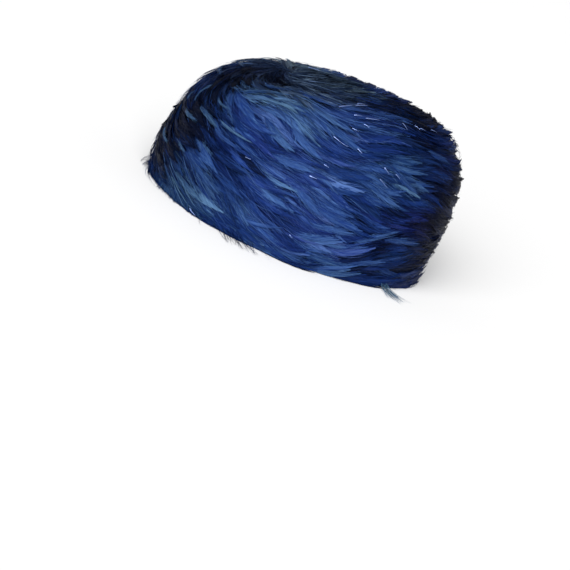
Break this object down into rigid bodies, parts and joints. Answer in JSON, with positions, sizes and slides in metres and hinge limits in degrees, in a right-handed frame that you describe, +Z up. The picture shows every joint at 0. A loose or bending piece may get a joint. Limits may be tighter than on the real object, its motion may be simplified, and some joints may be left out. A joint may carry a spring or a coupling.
{
  "type": "feather hat",
  "caption": "Close oval hat with a hollow stiff crown, covered in overlapping rounds of narrow pointed feathers that swirl out of a whorl on its top.",
  "frame": {"origin": "middle of the bounding box on the plane of the rim, which is the surface that the hat rests on", "axes": "+Z up, front of the hat towards -Y, wearer's left towards +X"},
  "size_m": [0.2191, 0.2409, 0.1224],
  "materials": {
    "stiff_crown": "stiffened woven cloth, matt, dark navy",
    "side_feathers": "dyed feathers, royal blue with steel blue and teal, satin sheen along the barbs",
    "top_feathers": "dyed feathers, dark navy blue, satin sheen along the barbs"
  },
  "bodies": {
    "root": {"hat_body": "stiff_crown", "rim_feathers": "side_feathers", "lower_side_feathers": "side_feathers", "middle_side_feathers": "side_feathers", "upper_side_feathers": "side_feathers", "shoulder_feathers": "side_feathers", "crown_feathers": "top_feathers", "whorl_feathers": "top_feathers"}
  },
  "joints": []
}
